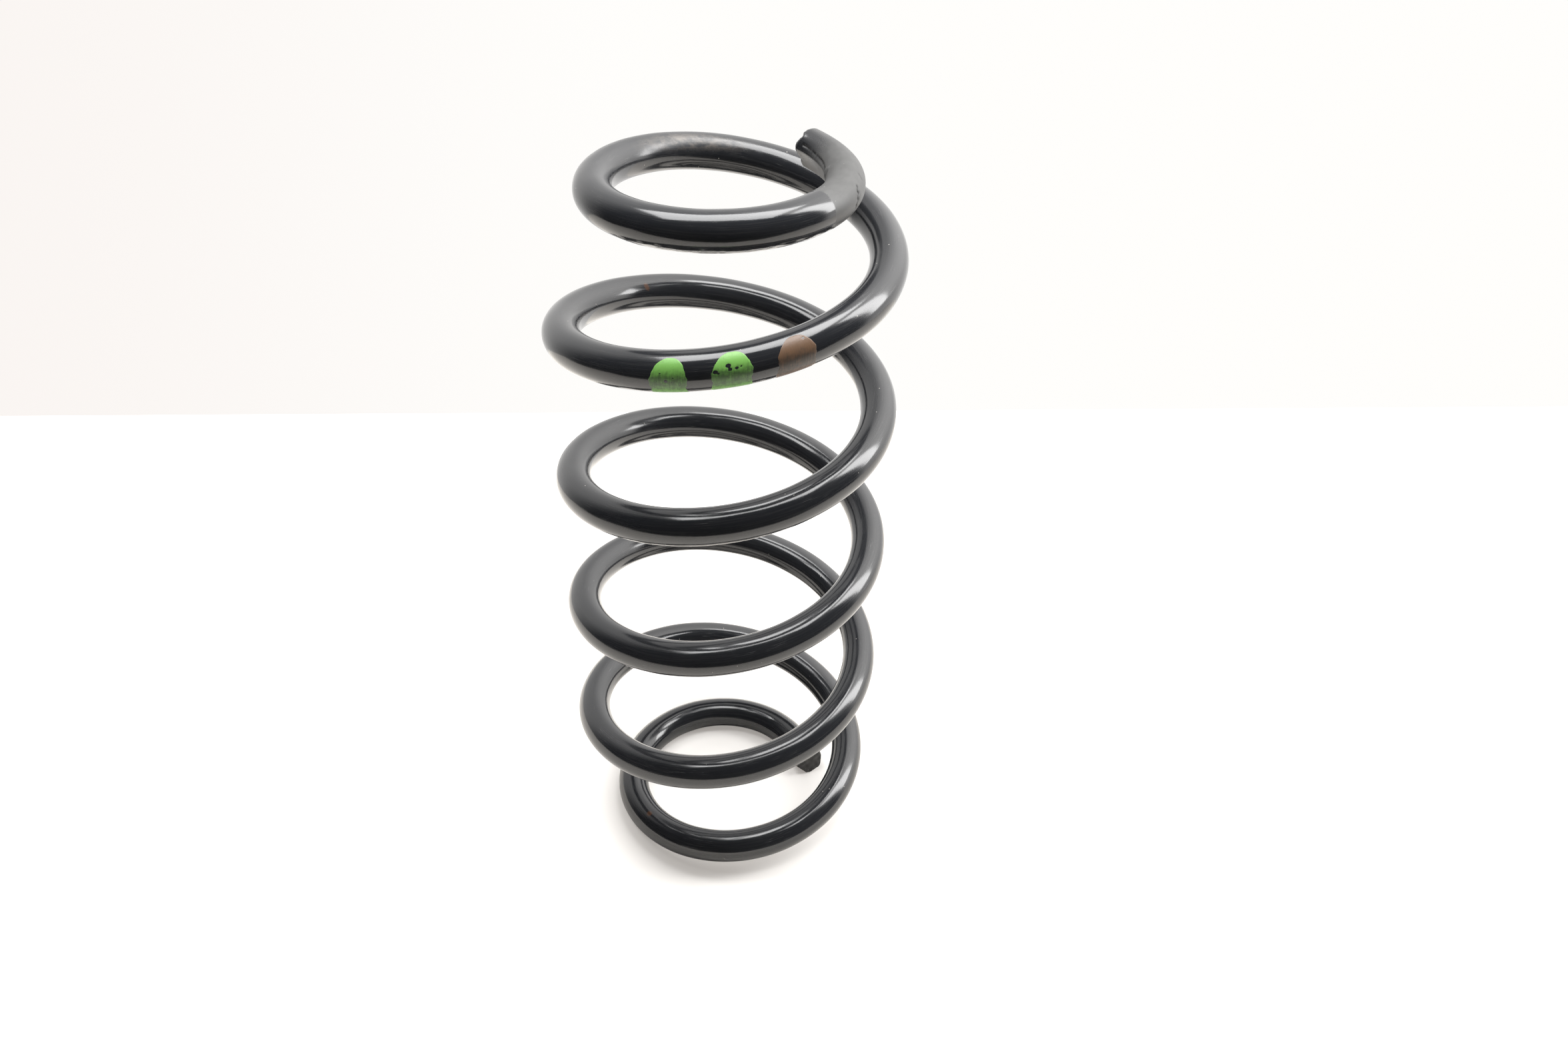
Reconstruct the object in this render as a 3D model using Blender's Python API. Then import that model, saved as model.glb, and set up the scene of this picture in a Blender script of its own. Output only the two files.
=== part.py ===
"""Coil spring of a car's suspension: one steel bar wound into a spring, with two small closed end coils.

The frame's origin is on the spring's axis, in the plane that the bottom end coil rests on, with +Z up.
A place along the bar is given in turns, from 0 at the bottom tip to TOTAL_TURNS at the top tip.
The bar is cut into lengths on vertical planes, so that each length can slide down past its neighbours
when the spring is compressed.
"""

import math

import bmesh
import bpy
from mathutils import Vector

# Bar
WIRE_RADIUS = 0.0070
SECTION_SIDES = 20
RING_STEP_DEG = 12.0

# Coils: the open coils share one radius, and both ends close in to a smaller one
COIL_RADIUS = 0.0600
BOTTOM_END_RADIUS = 0.0386
TOP_END_RADIUS = 0.0423
TOTAL_TURNS = 6.10
START_ANGLE_DEG = 10.0
OPEN_PITCH = 0.0636
TOP_END_PITCH = 0.0090

# Where the bar changes, in turns: how far from its tip a change starts, and how long it takes
BOTTOM_WIDEN_FROM = 0.16
BOTTOM_WIDEN_OVER = 1.00
TOP_WIDEN_FROM = 0.40
TOP_WIDEN_OVER = 0.83
BOTTOM_RISE_FROM = 0.28
BOTTOM_RISE_OVER = 0.89
TOP_RISE_FROM = 0.66
TOP_RISE_OVER = 0.31
TOP_FLAT = 0.12

# The last bit of bar at the bottom tip is straight, so the tip stands out from its coil
BOTTOM_TIP_OUT = 0.0026
BOTTOM_TIP_OVER = 0.08

# Lengths that the bar is cut into
BOTTOM_END_TURNS = 0.604
CUTS_PER_TURN = 6
OPEN_LENGTHS = 29
CUT_GAP = 0.0003

# Tips
TIP_CHAMFER = 0.0008

# Paint marks, on the outer side of the bar round the place that faces straight forward, towards -Y
MARKED_TURN = 4.722
MARK_HALF_WIDTH_DEG = 5.8
MARK_TOP_DEG = 68.0
MARK_TOP_ROUNDING_DEG = 45.0
MARK_BOTTOM_DEG = -62.0
MARK_BOTTOM_ROUNDING_DEG = 20.0
MARK_CORNER_FULLNESS = 0.9
MARK_CLEARANCE = 0.0003
MARK_THICKNESS = 0.0003
MARK_COLUMNS = 6
MARK_ROWS = 8
GREEN = (0.10, 0.42, 0.09)
BROWN = (0.20, 0.11, 0.05)
# (name, degrees round the coil from straight in front, colour)
PAINT_MARKS = (
    ("green_paint_mark_left", -12.4, GREEN),
    ("green_paint_mark_middle", 5.7, GREEN),
    ("brown_paint_mark", 24.5, BROWN),
)

BLACK_COATING = (0.012, 0.012, 0.014)
COATING_ROUGHNESS = 0.35
PAINT_ROUGHNESS = 0.55
SHARP_EDGE_DEG = 35.0
SMALL_TURN = 1e-4


def smooth_step(x):
    """0 before x = 0, 1 after x = 1, and smooth between them."""
    x = min(max(x, 0.0), 1.0)
    return x * x * (3 - 2 * x)


def smooth_step_area(x):
    """The area under smooth_step from 0 to x, the height gained while a slope grows smoothly."""
    inside = min(max(x, 0.0), 1.0)
    return inside**3 - inside**4 / 2 + max(x - 1.0, 0.0)


def section_radius():
    """The corner radius of a regular polygon with the round bar's area."""
    side_angle = math.pi / SECTION_SIDES
    return WIRE_RADIUS * math.sqrt(math.pi / (SECTION_SIDES * math.sin(side_angle) * math.cos(side_angle)))


def section_flat_distance():
    """From the bar's centre to the flat sides of its polygon, and so the end coil's height above its seat."""
    return section_radius() * math.cos(math.pi / SECTION_SIDES)


def coil_radius(turn):
    """The radius of the bar's centre line, smaller towards both tips."""
    from_top = TOTAL_TURNS - turn
    bottom_left = 1 - smooth_step((turn - BOTTOM_WIDEN_FROM) / BOTTOM_WIDEN_OVER)
    top_left = 1 - smooth_step((from_top - TOP_WIDEN_FROM) / TOP_WIDEN_OVER)
    radius = COIL_RADIUS
    radius += (BOTTOM_END_RADIUS - COIL_RADIUS) * bottom_left
    radius += (TOP_END_RADIUS - COIL_RADIUS) * top_left
    radius += BOTTOM_TIP_OUT * max(1 - turn / BOTTOM_TIP_OVER, 0.0) ** 2
    return radius


def height(turn):
    """The height of the bar's centre line: flat at the bottom, open coils, then the gently rising top coil."""
    top_rise_start = TOTAL_TURNS - TOP_RISE_FROM - TOP_RISE_OVER
    top_flat_start = TOTAL_TURNS - 2 * TOP_FLAT
    lift = OPEN_PITCH * BOTTOM_RISE_OVER * smooth_step_area((turn - BOTTOM_RISE_FROM) / BOTTOM_RISE_OVER)
    closing = (OPEN_PITCH - TOP_END_PITCH) * TOP_RISE_OVER
    closing *= smooth_step_area((turn - top_rise_start) / TOP_RISE_OVER)
    levelling = TOP_END_PITCH * TOP_FLAT * smooth_step_area((turn - top_flat_start) / TOP_FLAT)
    return section_flat_distance() + lift - closing - levelling


def centre(turn):
    """A point on the bar's centre line."""
    angle = math.radians(START_ANGLE_DEG) + 2 * math.pi * turn
    radius = coil_radius(turn)
    return Vector((radius * math.cos(angle), radius * math.sin(angle), height(turn)))


def section_axes(turn):
    """The level direction across the bar, pointing out, and the upright one, for a vertical slice of the bar.

    The slice is taller than the bar is thick, by as much as the bar slopes.
    """
    along = centre(turn + SMALL_TURN) - centre(turn - SMALL_TURN)
    level = Vector((along.x, along.y, 0.0))
    stretch = along.length / level.length
    across = level.normalized().cross(Vector((0.0, 0.0, 1.0)))
    return across, Vector((0.0, 0.0, stretch))


def section_point(turn, angle, radius):
    """A point of the slice at an angle up from its outer side."""
    across, upright = section_axes(turn)
    return centre(turn) + across * (radius * math.cos(angle)) + upright * (radius * math.sin(angle))


def turns_for_length(turn, length):
    """How many turns a short length of bar takes up."""
    return length / (2 * math.pi * coil_radius(turn))


def add_ring(mesh, turn, radius):
    """One polygon round the bar, with a flat side at its bottom and its top."""
    ring = []
    for side in range(SECTION_SIDES):
        angle = 2 * math.pi * (side + 0.5) / SECTION_SIDES
        ring.append(mesh.verts.new(section_point(turn, angle, radius)))
    return ring


def join_rings(mesh, first, second):
    """Side faces between two rings with the same number of corners."""
    count = len(first)
    for i in range(count):
        j = (i + 1) % count
        mesh.faces.new((first[i], first[j], second[j], second[i]))


def ring_places(start, end, tip_at_start, tip_at_end):
    """The places and radii of a length's rings, with a chamfer where it ends in a tip."""
    radius = section_radius()
    chamfer = turns_for_length(start if tip_at_start else end, TIP_CHAMFER)
    inner_start = start + chamfer if tip_at_start else start
    inner_end = end - chamfer if tip_at_end else end
    steps = max(1, math.ceil((inner_end - inner_start) * 360 / RING_STEP_DEG - SMALL_TURN))
    places = [(inner_start + (inner_end - inner_start) * i / steps, radius) for i in range(steps + 1)]
    if tip_at_start:
        places.insert(0, (start, radius - TIP_CHAMFER))
    if tip_at_end:
        places.append((end, radius - TIP_CHAMFER))
    return places


def new_object(name, mesh, material):
    """Turns a finished bmesh into a named object, shaded smooth but for its sharp edges."""
    bmesh.ops.recalc_face_normals(mesh, faces=mesh.faces)
    data = bpy.data.meshes.new(name)
    mesh.to_mesh(data)
    mesh.free()
    data.shade_smooth()
    data.set_sharp_from_angle(angle=math.radians(SHARP_EDGE_DEG))
    data.materials.append(material)
    part = bpy.data.objects.new(name, data)
    bpy.context.scene.collection.objects.link(part)
    return part


def new_material(name, colour, roughness):
    """A Principled BSDF with one colour."""
    material = bpy.data.materials.new(name)
    material.use_nodes = True
    shader = material.node_tree.nodes["Principled BSDF"]
    shader.inputs["Base Color"].default_value = (*colour, 1.0)
    shader.inputs["Roughness"].default_value = roughness
    shader.inputs["Metallic"].default_value = 0.0
    return material


def make_bar_length(name, start, end, coating, tip_at_start=False, tip_at_end=False):
    """A closed length of the bar."""
    mesh = bmesh.new()
    rings = [add_ring(mesh, turn, radius) for turn, radius in ring_places(start, end, tip_at_start, tip_at_end)]
    for first, second in zip(rings, rings[1:]):
        join_rings(mesh, first, second)
    mesh.faces.new(rings[0])
    mesh.faces.new(reversed(rings[-1]))
    part = new_object(name, mesh, coating)
    move_origin(part, centre((start + end) / 2))
    return part


def move_origin(part, point):
    """Puts the object's origin at a point of the bar, where its slide passes, without moving its shape."""
    for vertex in part.data.vertices:
        vertex.co -= point
    part.location = point


def make_bar(coating):
    """Both end coils and the open coils' lengths, which are named coil_1a, coil_1b and so on."""
    cut = BOTTOM_END_TURNS
    half_gap = turns_for_length(cut, CUT_GAP) / 2
    make_bar_length("bottom_end_coil", 0.0, cut - half_gap, coating, tip_at_start=True)
    for i in range(OPEN_LENGTHS):
        coil, letter = divmod(i, CUTS_PER_TURN)
        name = f"coil_{coil + 1}{'abcdef'[letter]}"
        next_cut = cut + 1 / CUTS_PER_TURN
        start_gap = turns_for_length(cut, CUT_GAP) / 2
        end_gap = turns_for_length(next_cut, CUT_GAP) / 2
        make_bar_length(name, cut + start_gap, next_cut - end_gap, coating)
        cut = next_cut
    half_gap = turns_for_length(cut, CUT_GAP) / 2
    make_bar_length("top_end_coil", cut + half_gap, TOTAL_TURNS, coating, tip_at_end=True)


def mark_angle(across, down):
    """The angle round the bar at a place on a mark, each given from 0 to 1. Both ends of a mark are rounded."""
    sideways = 2 * across - 1
    cut_back = 1 - math.sqrt(1 - MARK_CORNER_FULLNESS * sideways * sideways)
    top = MARK_TOP_DEG - MARK_TOP_ROUNDING_DEG * cut_back
    bottom = MARK_BOTTOM_DEG + MARK_BOTTOM_ROUNDING_DEG * cut_back
    return math.radians(top + (bottom - top) * down)


def make_paint_mark(name, front_angle_deg, colour):
    """A thin patch wrapped over the bar's outer side, just clear of it."""
    middle = MARKED_TURN + front_angle_deg / 360
    half_width = MARK_HALF_WIDTH_DEG / 360
    inner_radius = section_radius() + MARK_CLEARANCE
    mesh = bmesh.new()
    layers = []
    for radius in (inner_radius, inner_radius + MARK_THICKNESS):
        layer = []
        for i in range(MARK_COLUMNS + 1):
            turn = middle + half_width * (2 * i / MARK_COLUMNS - 1)
            angles = [mark_angle(i / MARK_COLUMNS, j / MARK_ROWS) for j in range(MARK_ROWS + 1)]
            layer.append([mesh.verts.new(section_point(turn, angle, radius)) for angle in angles])
        layers.append(layer)
    for layer in layers:
        for left, right in zip(layer, layer[1:]):
            for j in range(MARK_ROWS):
                mesh.faces.new((left[j], left[j + 1], right[j + 1], right[j]))
    inner_rim, outer_rim = [patch_rim(layer) for layer in layers]
    join_rings(mesh, inner_rim, outer_rim)
    paint = new_material(name + "_paint", colour, PAINT_ROUGHNESS)
    part = new_object(name, mesh, paint)
    move_origin(part, centre(middle))


def patch_rim(layer):
    """The border of a grid of points, once round."""
    first, last = layer[0], layer[-1]
    bottom = [column[-1] for column in layer[1:-1]]
    top = [column[0] for column in layer[-2:0:-1]]
    return first + bottom + last[::-1] + top


def build():
    """Clears the scene's objects and makes the spring."""
    for old in list(bpy.data.objects):
        bpy.data.objects.remove(old, do_unlink=True)
    coating = new_material("black_coating", BLACK_COATING, COATING_ROUGHNESS)
    make_bar(coating)
    for name, front_angle_deg, colour in PAINT_MARKS:
        make_paint_mark(name, front_angle_deg, colour)


build()
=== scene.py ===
"""The looks of a coil spring: round steel bar with a black coating, worn end coils and three daubs of paint.

The frame's bar is faceted. Here it is round, and the surfaces of its pieces meet while the spring is at rest.
A place along the bar is given in turns, from 0 at the bottom tip to TOTAL_TURNS at the top tip.
A place round the bar is given as an angle, from 0 on the outer side to a quarter turn on top.
"""

import math

import bpy
import numpy as np
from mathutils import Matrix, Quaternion, Vector


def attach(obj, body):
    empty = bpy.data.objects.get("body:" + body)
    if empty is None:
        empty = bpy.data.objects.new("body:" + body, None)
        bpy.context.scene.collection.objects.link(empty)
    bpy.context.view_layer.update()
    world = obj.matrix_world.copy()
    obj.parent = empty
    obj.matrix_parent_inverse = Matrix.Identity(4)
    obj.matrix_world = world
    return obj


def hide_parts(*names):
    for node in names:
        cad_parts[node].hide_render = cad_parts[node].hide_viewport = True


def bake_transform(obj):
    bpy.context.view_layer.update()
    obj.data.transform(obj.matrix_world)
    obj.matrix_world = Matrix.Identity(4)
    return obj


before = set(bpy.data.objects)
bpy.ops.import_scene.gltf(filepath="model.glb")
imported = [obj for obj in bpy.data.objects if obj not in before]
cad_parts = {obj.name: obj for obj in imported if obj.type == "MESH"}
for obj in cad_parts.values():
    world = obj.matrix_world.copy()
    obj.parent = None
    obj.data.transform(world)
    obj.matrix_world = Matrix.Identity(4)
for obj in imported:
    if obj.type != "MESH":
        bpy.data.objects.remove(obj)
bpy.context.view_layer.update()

MM = 0.001

# The bar's path: the same law as the frame's
BAR_RADIUS = 6.97 * MM
CENTRE_ABOVE_SEAT = 6.971 * MM
COIL_RADIUS = 60.0 * MM
BOTTOM_END_RADIUS = 38.6 * MM
TOP_END_RADIUS = 42.3 * MM
TOTAL_TURNS = 6.10
START_ANGLE = math.radians(10.0)
OPEN_PITCH = 63.6 * MM
TOP_END_PITCH = 9.0 * MM
BOTTOM_WIDEN_FROM = 0.16
BOTTOM_WIDEN_OVER = 1.00
TOP_WIDEN_FROM = 0.40
TOP_WIDEN_OVER = 0.83
BOTTOM_RISE_FROM = 0.28
BOTTOM_RISE_OVER = 0.89
TOP_RISE_FROM = 0.66
TOP_RISE_OVER = 0.31
TOP_FLAT = 0.12

# Where the frame's bar is cut
BOTTOM_END_TURNS = 0.604
CUTS_PER_TURN = 6
OPEN_LENGTHS = 29
PIECES_PER_LENGTH = 2
PIECES_PER_PAINTED_LENGTH = 3
PAINTED_LENGTHS = ("coil_5a", "coil_5b")

# How the spring is compressed: the end coils stay as they are outside these places
FIRST_SINKING_TURN = 0.45
LAST_SINKING_TURN = TOTAL_TURNS - 0.52
SINKING_EASES_OVER = 0.35

# How finely the bar is modelled
SIDES = 64
RING_STEP = 1.4 * MM
FINE_SIDES = 120
FINE_RING_STEP = 0.45 * MM
CLOSE_RINGS = np.array((0.0, 0.03, 0.12, 0.35)) * MM
SMALL_STEP = 1e-4
TABLE_TURNS = np.linspace(-0.05, TOTAL_TURNS + 0.05, 8001)

# How far a piece runs on inside its neighbour, and how deep it lies there
TUCK_LENGTH = 1.2 * MM
TUCK_DEPTH = 0.2 * MM

# Unevenness of the bar: millimetres, waves per turn, waves round the bar, and a shift
WOBBLES = ((0.016, 9.3, 2, 1.0), (0.012, 14.7, -1, 2.2), (0.008, 23.1, 3, 0.0))

# Tips: the last bit of bar at the bottom bends outwards, the one at the top is lifted
BOTTOM_TIP_OUT = 2.6 * MM
BOTTOM_TIP_OVER = 0.08
TOP_TIP_LIFT = 1.5 * MM
TOP_TIP_OVER = 0.13
BREAK_REACH = 4.0 * MM
TIP_ROUNDING = 0.9 * MM
TIP_ROUNDING_DEPTH = 0.35 * MM
TIP_SHARP_ANGLE = math.radians(38.0)
FACE_RINGS = np.array((0.93, 0.85, 0.75, 0.64, 0.53, 0.42, 0.31, 0.20, 0.10))[:, None]

# The broken top tip: notches and a bulge in its rim, as degrees round it, degrees wide and millimetres
UPPER_NOTCH = (131, 9, -0.75)
LOWER_NOTCH = (209, 10, -0.825)
RIM_BULGE = (170, 24, 0.5)

# The crack in the top end. Angles are in degrees round the bar, 0 on the outer side and 90 on top
CRACK_TURN = 5.9135
CRACK_SLANT = 0.00026
CRACK_WAVER = 0.0012
CRACK_WAVES = 0.4
CRACK_WIDTH = 0.45 * MM
CRACK_DEPTH = 0.42 * MM
CRACK_LOWEST = -20
CRACK_HIGHEST = 44
CRACK_FADE = 8

# Folds and a nick in the top end, each from one (turn, degrees round) to another, with its width and strength
LONG_FOLD = ((6.085, 152), (6.012, 158), 0.5 * MM, 1.0)
SHORT_FOLD = ((6.008, 160), (5.986, 178), 0.5 * MM, 0.9)
NICK = ((5.952, 50), (5.948, 34), 0.4 * MM, 0.35)
FOLD_DEPTH = 0.5 * MM

# Raised spots on the top end, as (turn, degrees round)
LIP_CORNER = (5.866, -31)
SWELLING_BY_CRACK = (5.925, 12)
UPPER_RIDGE = (5.984, 151)
LOWER_RIDGE = (5.993, 166)

# The flat pressed into the top end, and the flats that shearing left round the bottom tip. A flat is given by
# the degrees it faces and its distance from the bar's middle
PRESSED_FROM = 5.995
PRESSED_OVER = 0.02
PRESSED_FLAT = (205, 5.9 * MM)
SHEARED_UP_TO = 0.016
SHEARED_OVER = 0.014
SHEARED_FLATS = ((-138, 5.9 * MM), (-62, 6.5 * MM), (-8, 6.5 * MM), (160, 6.3 * MM))
SMALLEST_COSINE = 0.2

# The lip of the coating on the top coil. Its waves are given as size, rate and shift
LIP_START = 5.58
LIP_END = 5.88
LIP_FADE = 0.03
LIP_ANGLE = -38.0
LIP_WAVER = ((2.2, 97, 0.0), (1.1, 251, 1.0), (0.6, 611, 0.0))
LIP_BEADS = ((0.5, 260, 0.0),)
LIP_RISE = 0.14 * MM
LIP_WIDTH = 0.45 * MM
LIP_STEP = 0.10 * MM
LIP_REACH = 3.0 * MM
# How dark the shade painted along the lip is
LIP_PAINTED_SHADE = 0.3


def smooth_step(x):
    """0 before x = 0, 1 after x = 1, and smooth between them."""
    x = np.clip(x, 0.0, 1.0)
    return x * x * (3 - 2 * x)


def smooth_step_area(x):
    """The area under smooth_step from 0 to x, the height gained while a slope grows smoothly."""
    inside = np.clip(x, 0.0, 1.0)
    return inside**3 - inside**4 / 2 + np.maximum(x - 1.0, 0.0)


def waves(x, parts):
    """A sum of sine waves, each given as (size, rate, shift)."""
    return sum(size * np.sin(rate * x + shift) for size, rate, shift in parts)


def coil_radius(turn):
    """The radius of the bar's centre line, smaller towards both tips."""
    from_top = TOTAL_TURNS - turn
    bottom_left = 1 - smooth_step((turn - BOTTOM_WIDEN_FROM) / BOTTOM_WIDEN_OVER)
    top_left = 1 - smooth_step((from_top - TOP_WIDEN_FROM) / TOP_WIDEN_OVER)
    narrowing = (BOTTOM_END_RADIUS - COIL_RADIUS) * bottom_left
    tip = BOTTOM_TIP_OUT * np.maximum(1 - turn / BOTTOM_TIP_OVER, 0.0) ** 2
    return COIL_RADIUS + narrowing + (TOP_END_RADIUS - COIL_RADIUS) * top_left + tip


def height(turn):
    """The height of the bar's centre line: flat at the bottom, then open coils, then a gently rising coil."""
    top_rise_start = TOTAL_TURNS - TOP_RISE_FROM - TOP_RISE_OVER
    top_flat_start = TOTAL_TURNS - 2 * TOP_FLAT
    lift = OPEN_PITCH * BOTTOM_RISE_OVER * smooth_step_area((turn - BOTTOM_RISE_FROM) / BOTTOM_RISE_OVER)
    closing = (OPEN_PITCH - TOP_END_PITCH) * TOP_RISE_OVER
    closing = closing * smooth_step_area((turn - top_rise_start) / TOP_RISE_OVER)
    levelling = TOP_END_PITCH * TOP_FLAT * smooth_step_area((turn - top_flat_start) / TOP_FLAT)
    tip = TOP_TIP_LIFT * np.maximum(1 - (TOTAL_TURNS - turn) / TOP_TIP_OVER, 0.0) ** 2
    return CENTRE_ABOVE_SEAT + lift - closing - levelling + tip


def centre(turn):
    """Points on the bar's centre line."""
    around = START_ANGLE + 2 * math.pi * turn
    radius = coil_radius(turn)
    return np.stack([radius * np.cos(around), radius * np.sin(around), height(turn)], axis=-1)


def along_bar(turn):
    """The direction of the centre line, not brought to length 1."""
    return centre(turn + SMALL_STEP) - centre(turn - SMALL_STEP)


def section_axes(turn):
    """The level direction across the bar, pointing out, and the upright one, for a vertical slice of it."""
    along = along_bar(turn)
    level_length = np.hypot(along[..., 0], along[..., 1])
    across = np.stack([along[..., 1], -along[..., 0], 0 * level_length], axis=-1) / level_length[..., None]
    stretch = np.linalg.norm(along, axis=-1) / level_length
    upright = np.stack([0 * stretch, 0 * stretch, stretch], axis=-1)
    return across, upright


def distance_table():
    """Metres of bar up to each of the TABLE_TURNS."""
    steps = np.linalg.norm(np.diff(centre(TABLE_TURNS), axis=0), axis=1)
    return np.concatenate([[0.0], np.cumsum(steps)])


def share_table():
    """How much of the top's sinking each of the TABLE_TURNS follows, from the even twist of the bar."""
    easing_in = smooth_step((TABLE_TURNS - FIRST_SINKING_TURN) / SINKING_EASES_OVER)
    easing_out = smooth_step((LAST_SINKING_TURN - TABLE_TURNS) / SINKING_EASES_OVER)
    rate = coil_radius(TABLE_TURNS) ** 3 * easing_in * easing_out
    total = np.concatenate([[0.0], np.cumsum((rate[1:] + rate[:-1]) / 2)])
    return total / total[-1]


DISTANCES = distance_table()
SHARES = share_table()


def distance_along(turn):
    """Metres of bar up to a place."""
    return np.interp(turn, TABLE_TURNS, DISTANCES)


def sinking_share(turn):
    """0 where the bar stays with the bottom end coil, 1 where it moves with the top one."""
    return float(np.interp(turn, TABLE_TURNS, SHARES))


def wobble(turn, angle):
    """The slight unevenness of a hot-wound bar, in metres."""
    along = 2 * math.pi * turn
    uneven = 0.0
    for size, rate, round_rate, shift in WOBBLES:
        uneven = uneven + size * np.sin(rate * along + round_rate * angle + shift)
    return uneven * MM


def round_from(angle, middle):
    """Metres round the bar from a place, the short way."""
    return (np.mod(angle - middle + math.pi, 2 * math.pi) - math.pi) * BAR_RADIUS


def lump(turn, angle, place, length, width, rise):
    """A soft raised spot at a (turn, degrees round), or a dent where rise is negative."""
    along = (distance_along(turn) - distance_along(place[0])) / length
    across = round_from(angle, math.radians(place[1])) / width
    return rise * np.exp(-along * along - across * across)


def line_mark(turn, angle, start, end, width, rise):
    """A raised line, or a crack where rise is negative, between two places given as (turn, degrees round)."""
    first, last = distance_along(start[0]), distance_along(end[0])
    along = distance_along(turn) - first
    across = round_from(angle, math.radians(start[1]))
    run = np.array((last - first, math.radians(end[1] - start[1]) * BAR_RADIUS))
    part = np.clip((along * run[0] + across * run[1]) / (run @ run), 0.0, 1.0)
    off_squared = (along - part * run[0]) ** 2 + (across - part * run[1]) ** 2
    return rise * np.exp(-off_squared / width**2)


def coating_edge(turn, angle):
    """The ragged lip where the thick coating of the top coil ends, low on its outer side."""
    shown = smooth_step((turn - LIP_START) / LIP_FADE) * smooth_step((LIP_END - turn) / LIP_FADE)
    path = np.radians(LIP_ANGLE + waves(turn, LIP_WAVER))
    above = round_from(angle, 0.0) - path * BAR_RADIUS
    lip = LIP_RISE * np.exp(-((above / LIP_WIDTH) ** 2)) * (1 + waves(turn, LIP_BEADS))
    step = -LIP_STEP * smooth_step(-above / LIP_WIDTH) * smooth_step((above + LIP_REACH) / LIP_WIDTH)
    return shown * (lip + step)


def flat_cut(angle, flat, shown):
    """How far a flat, as (degrees it faces, distance from the bar's middle), cuts into the round bar."""
    facing, distance = flat
    cosine = np.maximum(np.cos(angle - math.radians(facing)), SMALLEST_COSINE)
    return shown * np.minimum(distance / cosine - BAR_RADIUS, 0.0)


def crack(turn, angle):
    """1 in the crack that runs round the outer side of the top end, 0 away from it."""
    degrees = np.degrees(round_from(angle, 0.0) / BAR_RADIUS)
    path = CRACK_TURN + CRACK_SLANT * degrees + CRACK_WAVER * np.sin(degrees * CRACK_WAVES)
    off = (distance_along(turn) - distance_along(path)) / CRACK_WIDTH
    lower_end = smooth_step((degrees - CRACK_LOWEST) / CRACK_FADE)
    upper_end = smooth_step((CRACK_HIGHEST - degrees) / CRACK_FADE)
    return lower_end * upper_end * np.exp(-off * off)


def creases(turn, angle):
    """1 deep in the folds under the broken tip, 0 away from them, and between these in the nick."""
    unsteady = 0.72 + 0.28 * np.sin(900 * turn + 4 * np.sin(330 * turn))
    long_fold = line_mark(turn, angle, *LONG_FOLD) * unsteady
    short_fold = line_mark(turn, angle, *SHORT_FOLD)
    return np.maximum(np.maximum(long_fold, short_fold), line_mark(turn, angle, *NICK))


def painted_shade(turn, angle):
    """Painted shade in the top end's cracks and folds, fainter along its coating's lip, from 0 to 1."""
    lip = LIP_PAINTED_SHADE * smooth_step(coating_edge(turn, angle) / LIP_RISE - 0.3)
    return np.clip(np.maximum(np.maximum(crack(turn, angle), creases(turn, angle)), lip), 0.0, 1.0)


def top_end_relief(turn, angle):
    """The worn and broken end of the top coil."""
    raised = coating_edge(turn, angle)
    raised = raised + lump(turn, angle, LIP_CORNER, length=0.9 * MM, width=0.7 * MM, rise=0.55 * MM)
    raised = raised - CRACK_DEPTH * crack(turn, angle) - FOLD_DEPTH * creases(turn, angle)
    raised = raised + lump(turn, angle, SWELLING_BY_CRACK, length=1.6 * MM, width=3.2 * MM, rise=0.16 * MM)
    raised = raised + lump(turn, angle, UPPER_RIDGE, length=1.3 * MM, width=1.0 * MM, rise=0.5 * MM)
    raised = raised + lump(turn, angle, LOWER_RIDGE, length=0.9 * MM, width=1.4 * MM, rise=0.35 * MM)
    return raised + flat_cut(angle, PRESSED_FLAT, smooth_step((turn - PRESSED_FROM) / PRESSED_OVER))


def bottom_end_relief(turn, angle):
    """The flats that shearing left at the bottom tip."""
    near_tip = smooth_step((SHEARED_UP_TO - turn) / SHEARED_OVER)
    return sum(flat_cut(angle, flat, near_tip) for flat in SHEARED_FLATS)


def relief(turn, angle):
    """How far the coating stands above the round bar."""
    raised = wobble(turn, angle)
    if np.max(turn) > LIP_START:
        raised = raised + top_end_relief(turn, angle)
    if np.min(turn) < SHEARED_UP_TO:
        raised = raised + bottom_end_relief(turn, angle)
    return raised


def surface(turn, angle, lift=0.0):
    """Points on the bar's surface, raised by lift. turn and angle are arrays that fit together."""
    turn, angle = np.broadcast_arrays(turn, angle)
    across, upright = section_axes(turn)
    radius = (BAR_RADIUS + relief(turn, angle) + lift)[..., None]
    outwards = across * (radius * np.cos(angle)[..., None])
    return centre(turn) + outwards + upright * (radius * np.sin(angle)[..., None])


def surface_normals(turn, angle):
    """Directions straight out of the bar's surface."""
    round_it = surface(turn, angle + SMALL_STEP) - surface(turn, angle - SMALL_STEP)
    along = surface(turn + SMALL_STEP, angle) - surface(turn - SMALL_STEP, angle)
    out = np.cross(round_it, along)
    out /= np.linalg.norm(out, axis=-1, keepdims=True)
    away = surface(turn, angle) - centre(np.broadcast_arrays(turn, angle)[0])
    return np.where((out * away).sum(axis=-1, keepdims=True) < 0, -out, out)


def straight_place(turn, angle):
    """Where a place would be, in millimetres, if the bar was straightened: along it, then across it."""
    turn, angle = np.broadcast_arrays(turn, angle)
    radius = BAR_RADIUS / MM
    return np.stack([distance_along(turn) / MM, radius * np.cos(angle), radius * np.sin(angle)], axis=-1)


def ring_turns(start, end, step):
    """Evenly spaced places for a piece's rings."""
    length = distance_along(end) - distance_along(start)
    return np.linspace(start, end, max(2, math.ceil(length / step) + 1))


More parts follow.
